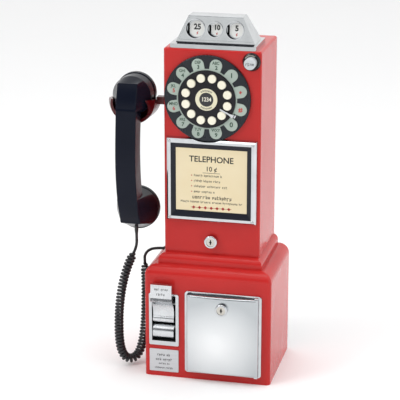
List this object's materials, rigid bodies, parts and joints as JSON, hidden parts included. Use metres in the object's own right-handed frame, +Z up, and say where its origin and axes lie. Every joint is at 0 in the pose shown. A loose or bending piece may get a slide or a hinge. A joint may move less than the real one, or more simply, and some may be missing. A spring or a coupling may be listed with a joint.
{
  "type": "wall payphone",
  "caption": "Wall coin telephone: stacked red casings, chrome coin hood, push-key dial, framed sign, vault door and a curly-cord handset on a side hook.",
  "frame": {"origin": "centre of the base's bottom face", "axes": "+X to the viewer's right, +Y from the front into the wall, +Z up"},
  "size_m": [0.2164, 0.142, 0.4615],
  "materials": {
    "red_casing": "high gloss red moulding",
    "black_steel": "satin black paint",
    "screw_steel": "bright zinc",
    "chrome": "mirror plating",
    "white_face": "printed white disc",
    "grey_plastic": "plain moulded",
    "galvanised_steel": "galvanised sheet",
    "dial_black": "gloss charcoal",
    "wheel_black": "gloss black",
    "tab_green": "pale grey-green printed tabs",
    "cream_plastic": "cream moulding",
    "card_black": "printed card",
    "key_cream": "cream key caps",
    "circuit_board": "green solder mask",
    "white_plastic": "white moulding",
    "sign_card": "printed cream card",
    "lock_brass": "nickel plated brass plug",
    "door_steel": "fine brushed, polished",
    "black_plastic": "moulded black",
    "pin_steel": "ground steel",
    "plate_aluminium": "satin printed plate",
    "hook_red": "dark red moulding",
    "handset_black": "polished black",
    "cord_black": "black sheathed cord"
  },
  "bodies": {
    "housing": {"lower_housing": "red_casing", "upper_housing": "red_casing", "back_plate": "black_steel", "back_screws": "screw_steel", "sign_screws": "screw_steel", "coin_hood": "chrome", "coin_bezels": "chrome", "vault_frame": "chrome", "return_bezel": "chrome", "finger_stop": "chrome", "upper_lock_body": "chrome", "sign_frame": "chrome", "coin_faces": "white_face", "coin_chute": "grey_plastic", "coin_box": "galvanised_steel", "dial_plate": "dial_black", "finger_wheel": "wheel_black", "number_tabs": "tab_green", "card_ring": "cream_plastic", "centre_card": "card_black", "keypad_board": "circuit_board", "main_board": "circuit_board", "release_collar": "wheel_black", "sign_tray": "dial_black", "sign_card": "sign_card", "return_chute": "black_plastic", "hinge_pins": "pin_steel", "instruction_plate": "plate_aluminium", "hook_switch": "black_plastic", "ringer": "grey_plastic", "cord_gland": "cord_black", "cord_lead_housing": "cord_black", "cord_coil": "cord_black", "cord_lead_handset": "cord_black", "line_jack": "grey_plastic"},
    "release_button": {"release_button": "white_plastic"},
    "upper_lock": {"upper_lock_plug": "lock_brass"},
    "vault_door": {"vault_door": "door_steel", "vault_lock_body": "chrome"},
    "vault_lock": {"vault_lock_plug": "lock_brass"},
    "return_lever": {"return_lever": "chrome"},
    "return_flap": {"return_flap": "chrome"},
    "hook": {"hook": "hook_red"},
    "handset": {"handset_grip": "handset_black", "ear_cap": "handset_black", "mouth_cap": "handset_black", "handset_capsules": "grey_plastic", "handset_gland": "cord_black"},
    "key_1": {"key_1": "key_cream"},
    "key_2": {"key_2": "key_cream"},
    "key_3": {"key_3": "key_cream"},
    "key_4": {"key_4": "key_cream"},
    "key_5": {"key_5": "key_cream"},
    "key_6": {"key_6": "key_cream"},
    "key_7": {"key_7": "key_cream"},
    "key_8": {"key_8": "key_cream"},
    "key_9": {"key_9": "key_cream"},
    "key_0": {"key_0": "key_cream"},
    "key_star": {"key_star": "key_cream"},
    "key_hash": {"key_hash": "key_cream"}
  },
  "joints": [
    {"name": "press_1", "type": "slide", "parent": "housing", "child": "key_1", "axis": [0, 1, 0], "range_m": [0, 0.0015], "stiffness_N_per_m": 250, "springref_m": -0.001},
    {"name": "press_2", "type": "slide", "parent": "housing", "child": "key_2", "axis": [0, 1, 0], "range_m": [0, 0.0015], "stiffness_N_per_m": 250, "springref_m": -0.001},
    {"name": "press_3", "type": "slide", "parent": "housing", "child": "key_3", "axis": [0, 1, 0], "range_m": [0, 0.0015], "stiffness_N_per_m": 250, "springref_m": -0.001},
    {"name": "press_4", "type": "slide", "parent": "housing", "child": "key_4", "axis": [0, 1, 0], "range_m": [0, 0.0015], "stiffness_N_per_m": 250, "springref_m": -0.001},
    {"name": "press_5", "type": "slide", "parent": "housing", "child": "key_5", "axis": [0, 1, 0], "range_m": [0, 0.0015], "stiffness_N_per_m": 250, "springref_m": -0.001},
    {"name": "press_6", "type": "slide", "parent": "housing", "child": "key_6", "axis": [0, 1, 0], "range_m": [0, 0.0015], "stiffness_N_per_m": 250, "springref_m": -0.001},
    {"name": "press_7", "type": "slide", "parent": "housing", "child": "key_7", "axis": [0, 1, 0], "range_m": [0, 0.0015], "stiffness_N_per_m": 250, "springref_m": -0.001},
    {"name": "press_8", "type": "slide", "parent": "housing", "child": "key_8", "axis": [0, 1, 0], "range_m": [0, 0.0015], "stiffness_N_per_m": 250, "springref_m": -0.001},
    {"name": "press_9", "type": "slide", "parent": "housing", "child": "key_9", "axis": [0, 1, 0], "range_m": [0, 0.0015], "stiffness_N_per_m": 250, "springref_m": -0.001},
    {"name": "press_0", "type": "slide", "parent": "housing", "child": "key_0", "axis": [0, 1, 0], "range_m": [0, 0.0015], "stiffness_N_per_m": 250, "springref_m": -0.001},
    {"name": "press_star", "type": "slide", "parent": "housing", "child": "key_star", "axis": [0, 1, 0], "range_m": [0, 0.0015], "stiffness_N_per_m": 250, "springref_m": -0.001},
    {"name": "press_hash", "type": "slide", "parent": "housing", "child": "key_hash", "axis": [0, 1, 0], "range_m": [0, 0.0015], "stiffness_N_per_m": 250, "springref_m": -0.001},
    {"name": "push_release", "type": "slide", "parent": "housing", "child": "release_button", "axis": [0, 1, 0], "range_m": [0, 0.005], "stiffness_N_per_m": 250, "springref_m": -0.002},
    {"name": "turn_upper_lock", "type": "hinge", "parent": "housing", "child": "upper_lock", "pos_m": [0, -0.0371, 0.179], "axis": [0, 1, 0], "range_deg": [0, 90]},
    {"name": "open_vault", "type": "hinge", "parent": "housing", "child": "vault_door", "pos_m": [0.0645, -0.0688, 0.0645], "axis": [0, 0, 1], "range_deg": [0, 105]},
    {"name": "turn_vault_lock", "type": "hinge", "parent": "vault_door", "child": "vault_lock", "pos_m": [0.0212, -0.0635, 0.1015], "axis": [0, 1, 0], "range_deg": [0, 90]},
    {"name": "pull_return", "type": "hinge", "parent": "housing", "child": "return_lever", "pos_m": [-0.0558, -0.058, 0.098], "axis": [1, 0, 0], "range_deg": [0, 20], "stiffness_Nm_per_rad": 0.12, "springref_deg": -20.05},
    {"name": "push_flap", "type": "hinge", "parent": "housing", "child": "return_flap", "pos_m": [-0.0558, -0.056, 0.066], "axis": [1, 0, 0], "range_deg": [0, 50], "stiffness_Nm_per_rad": 0.01, "springref_deg": -22.92},
    {"name": "lift_handset", "type": "slide", "parent": "housing", "child": "handset", "axis": [0, 0, 1], "range_m": [0, 0.085]},
    {"name": "swing_hook", "type": "hinge", "parent": "housing", "child": "hook", "pos_m": [-0.04, -0.0085, 0.3507], "axis": [0, 1, 0], "range_deg": [0, 7.1]}
  ],
  "couplings": [
    {"joint": "swing_hook", "follows": "lift_handset", "rad_per_m": 1.4373}
  ]
}
